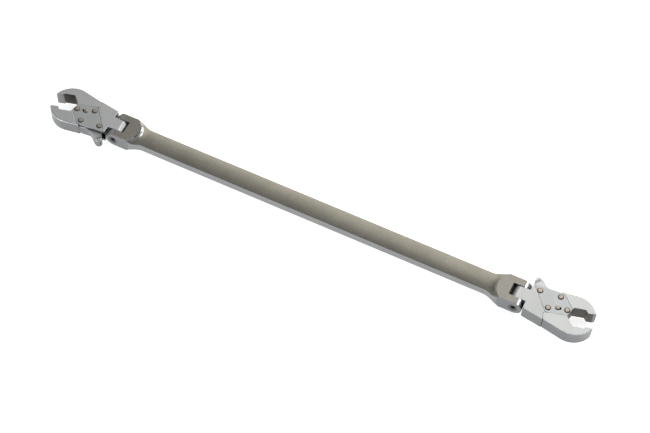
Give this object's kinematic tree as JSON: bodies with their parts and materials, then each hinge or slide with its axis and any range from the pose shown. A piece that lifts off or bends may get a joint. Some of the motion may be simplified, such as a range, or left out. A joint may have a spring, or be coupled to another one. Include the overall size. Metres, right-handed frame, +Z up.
{
  "type": "ratchet wrench",
  "caption": "Long double-ended flex-head line wrench: a flat bar with a forked end at each side, each holding a pivoting open jaw head with a spring-loaded moving jaw.",
  "frame": {"origin": "middle of the handle, on its mid-plane, halfway between the two flex screws", "axes": "+X along the handle towards the right-hand head, +Y across it, +Z up out of the cover plates; the left-hand head is the right-hand head turned half a turn about Z"},
  "size_m": [0.4112, 0.0362, 0.0118],
  "materials": {
    "handle_steel": "satin, grained crowned faces with polished sides",
    "head_steel": "satin",
    "cover_steel": "satin",
    "jaw_steel": "satin",
    "rivet_steel": "bright, warm",
    "screw_steel": "dark satin",
    "plunger_steel": "polished",
    "spring_steel": "drawn wire"
  },
  "bodies": {
    "handle": {"handle": "handle_steel", "left_flex_screw": "screw_steel", "left_plunger": "plunger_steel", "left_plunger_spring": "spring_steel", "right_flex_screw": "screw_steel", "right_plunger": "plunger_steel", "right_plunger_spring": "spring_steel"},
    "left_head": {"left_head_body": "head_steel", "left_cover_plate": "cover_steel", "left_fixed_jaw": "jaw_steel", "left_pivot_rivet": "rivet_steel", "left_stop_rivet": "rivet_steel", "left_jaw_rivets": "rivet_steel", "left_return_spring": "spring_steel"},
    "left_moving_jaw": {"left_moving_jaw": "jaw_steel", "left_guide_pin": "rivet_steel"},
    "right_head": {"right_head_body": "head_steel", "right_cover_plate": "cover_steel", "right_fixed_jaw": "jaw_steel", "right_pivot_rivet": "rivet_steel", "right_stop_rivet": "rivet_steel", "right_jaw_rivets": "rivet_steel", "right_return_spring": "spring_steel"},
    "right_moving_jaw": {"right_moving_jaw": "jaw_steel", "right_guide_pin": "rivet_steel"}
  },
  "joints": [
    {"name": "left_flex", "type": "hinge", "parent": "handle", "child": "left_head", "pos_m": [-0.152, 0, 0], "axis": [0, 1, 0], "range_deg": [-90, 90]},
    {"name": "left_jaw", "type": "hinge", "parent": "left_head", "child": "left_moving_jaw", "pos_m": [-0.1782, -0.0087, 0], "axis": [0, 0, 1], "range_deg": [0, 8], "stiffness_Nm_per_rad": 0.5, "springref_deg": -14.32, "deforming": ["left_return_spring"]},
    {"name": "right_flex", "type": "hinge", "parent": "handle", "child": "right_head", "pos_m": [0.152, 0, 0], "axis": [0, -1, 0], "range_deg": [-90, 90]},
    {"name": "right_jaw", "type": "hinge", "parent": "right_head", "child": "right_moving_jaw", "pos_m": [0.1782, 0.0087, 0], "axis": [0, 0, 1], "range_deg": [0, 8], "stiffness_Nm_per_rad": 0.5, "springref_deg": -14.32, "deforming": ["right_return_spring"]}
  ]
}
